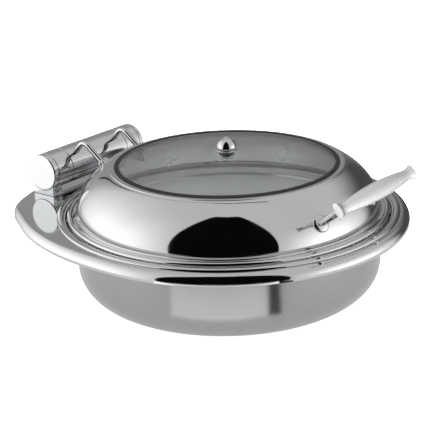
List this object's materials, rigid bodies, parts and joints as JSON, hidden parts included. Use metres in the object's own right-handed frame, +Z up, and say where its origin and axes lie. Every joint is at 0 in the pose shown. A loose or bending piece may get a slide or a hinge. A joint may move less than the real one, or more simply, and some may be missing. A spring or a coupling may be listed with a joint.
{
  "type": "chafing dish",
  "caption": "Round roll-top chafing dish: a water pan in an oval deck holds a food pan, under a domed steel lid with a glass window that swings up on a rear cylinder hinge.",
  "frame": {"origin": "centre of the underside of the base disc, under the axis of the round pans", "axes": "+Z up along the pans' axis, -Y to the handle, +Y to the hinge, X along the hinge axis"},
  "size_m": [0.453, 0.5075, 0.1996],
  "materials": {
    "mirror_steel": "mirror polished stainless steel",
    "satin_steel": "satin spun stainless steel",
    "blasted_steel": "bead blasted stainless steel",
    "pan_steel": "bright rolled stainless steel",
    "black_silicone": "matt black silicone",
    "glass": "clear toughened glass",
    "zinc_steel": "plain steel",
    "spring_steel": "oiled spring steel",
    "damper_plastic": "black moulded plastic",
    "bush_plastic": "natural acetal"
  },
  "bodies": {
    "root": {"induction_disc": "zinc_steel", "water_pan": "satin_steel", "deck": "mirror_steel", "food_pan": "pan_steel", "hinge_post_left": "mirror_steel", "hinge_post_right": "mirror_steel", "hinge_housing_left": "mirror_steel", "hinge_housing_right": "mirror_steel", "hinge_cap_left": "mirror_steel", "hinge_cap_right": "mirror_steel", "hinge_shaft": "zinc_steel", "damper_body": "damper_plastic", "torsion_spring": "spring_steel", "hinge_backing_plate": "zinc_steel", "post_screw_left_front": "zinc_steel", "post_screw_left_rear": "zinc_steel", "post_screw_right_front": "zinc_steel", "post_screw_right_rear": "zinc_steel"},
    "lid": {"lid_shell": "mirror_steel", "knob": "mirror_steel", "knob_washer": "mirror_steel", "knob_nut": "mirror_steel", "handle_leg_left": "mirror_steel", "handle_leg_right": "mirror_steel", "handle_escutcheon_left": "mirror_steel", "handle_escutcheon_right": "mirror_steel", "hinge_barrel": "mirror_steel", "hinge_arm_left": "mirror_steel", "hinge_arm_right": "mirror_steel", "arm_nut_left": "mirror_steel", "arm_nut_right": "mirror_steel", "lid_lug_left": "mirror_steel", "lid_lug_right": "mirror_steel", "handle_grip": "blasted_steel", "window_gasket": "black_silicone", "knob_soft_washer": "black_silicone", "lid_buffer_1": "black_silicone", "lid_buffer_2": "black_silicone", "lid_buffer_3": "black_silicone", "lid_buffer_4": "black_silicone", "window_glass": "glass", "knob_stud": "zinc_steel", "handle_nut_left": "zinc_steel", "handle_nut_right": "zinc_steel", "damper_rotor": "zinc_steel", "hinge_bush_left": "bush_plastic", "hinge_bush_right": "bush_plastic"}
  },
  "joints": [
    {"name": "lid_hinge", "type": "hinge", "parent": "root", "child": "lid", "pos_m": [0, 0.2353, 0.1362], "axis": [-1, 0, 0], "range_deg": [0, 90]}
  ]
}
